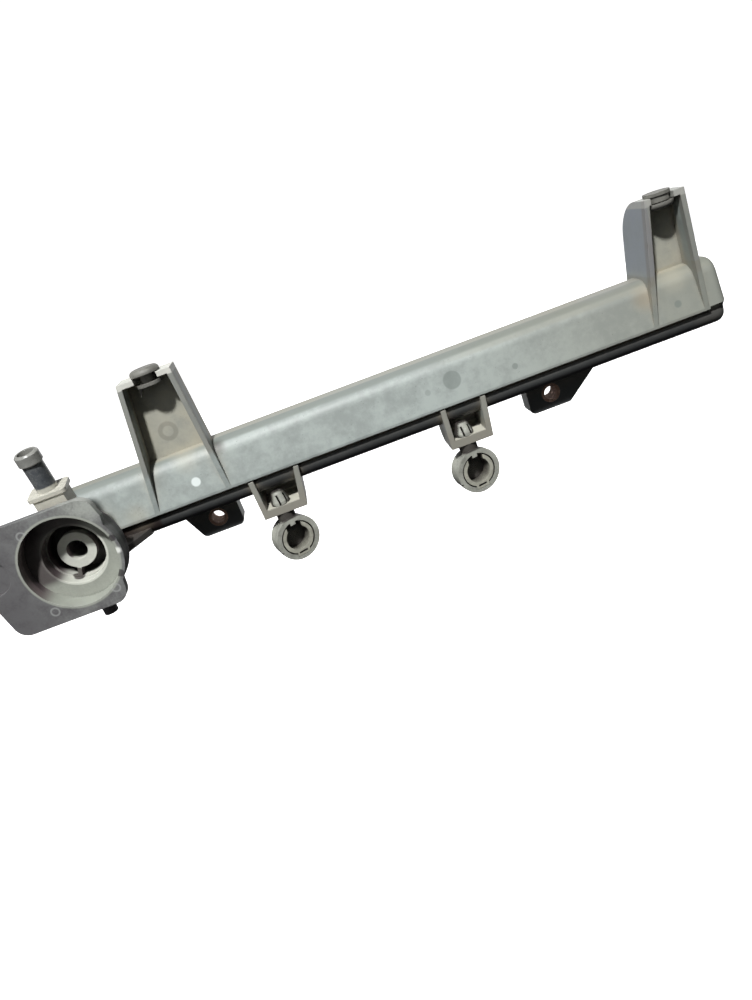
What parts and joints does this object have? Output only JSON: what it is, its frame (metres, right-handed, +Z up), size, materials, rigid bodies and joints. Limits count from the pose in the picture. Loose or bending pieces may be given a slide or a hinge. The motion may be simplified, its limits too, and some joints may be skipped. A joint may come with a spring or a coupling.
{
  "type": "fuel rail",
  "caption": "Moulded fuel rail with a regulator housing and hose nipple, slotted towers with rubber bushes, swivelling hose clips, injector cups and bolt ears.",
  "frame": {"origin": "midway between the two bolt holes, on the face that meets the manifold", "axes": "+X along the rail to its closed end, +Y towards the manifold, +Z up, away from the clips"},
  "size_m": [0.3404, 0.078, 0.106],
  "materials": {
    "rail_plastic": "dusty glass-filled nylon",
    "housing_plastic": "dusty glass-filled nylon, greyer",
    "nipple_plastic": "worn smooth nylon",
    "clip_plastic": "dusty nylon",
    "liner_plastic": "dusty soft nylon",
    "rubber": "dusty rubber",
    "sleeve_steel": "dull zinc"
  },
  "bodies": {
    "rail": {"rail_body": "rail_plastic", "end_plug": "rail_plastic", "regulator_housing": "housing_plastic", "hose_nipple": "nipple_plastic", "nipple_o_ring": "rubber", "bush_left": "rubber", "bush_right": "rubber", "ear_sleeve_left": "sleeve_steel", "ear_sleeve_right": "sleeve_steel"},
    "clip_left": {"clip_left_body": "clip_plastic", "clip_left_liner": "liner_plastic"},
    "clip_right": {"clip_right_body": "clip_plastic", "clip_right_liner": "liner_plastic"}
  },
  "joints": [
    {"name": "clip_left_swivel", "type": "hinge", "parent": "rail", "child": "clip_left", "pos_m": [-0.0524, -0.0196, -0.0028], "axis": [0, 0, 1], "continuous": true},
    {"name": "clip_right_swivel", "type": "hinge", "parent": "rail", "child": "clip_right", "pos_m": [0.0372, -0.0196, -0.0028], "axis": [0, 0, 1], "continuous": true}
  ]
}
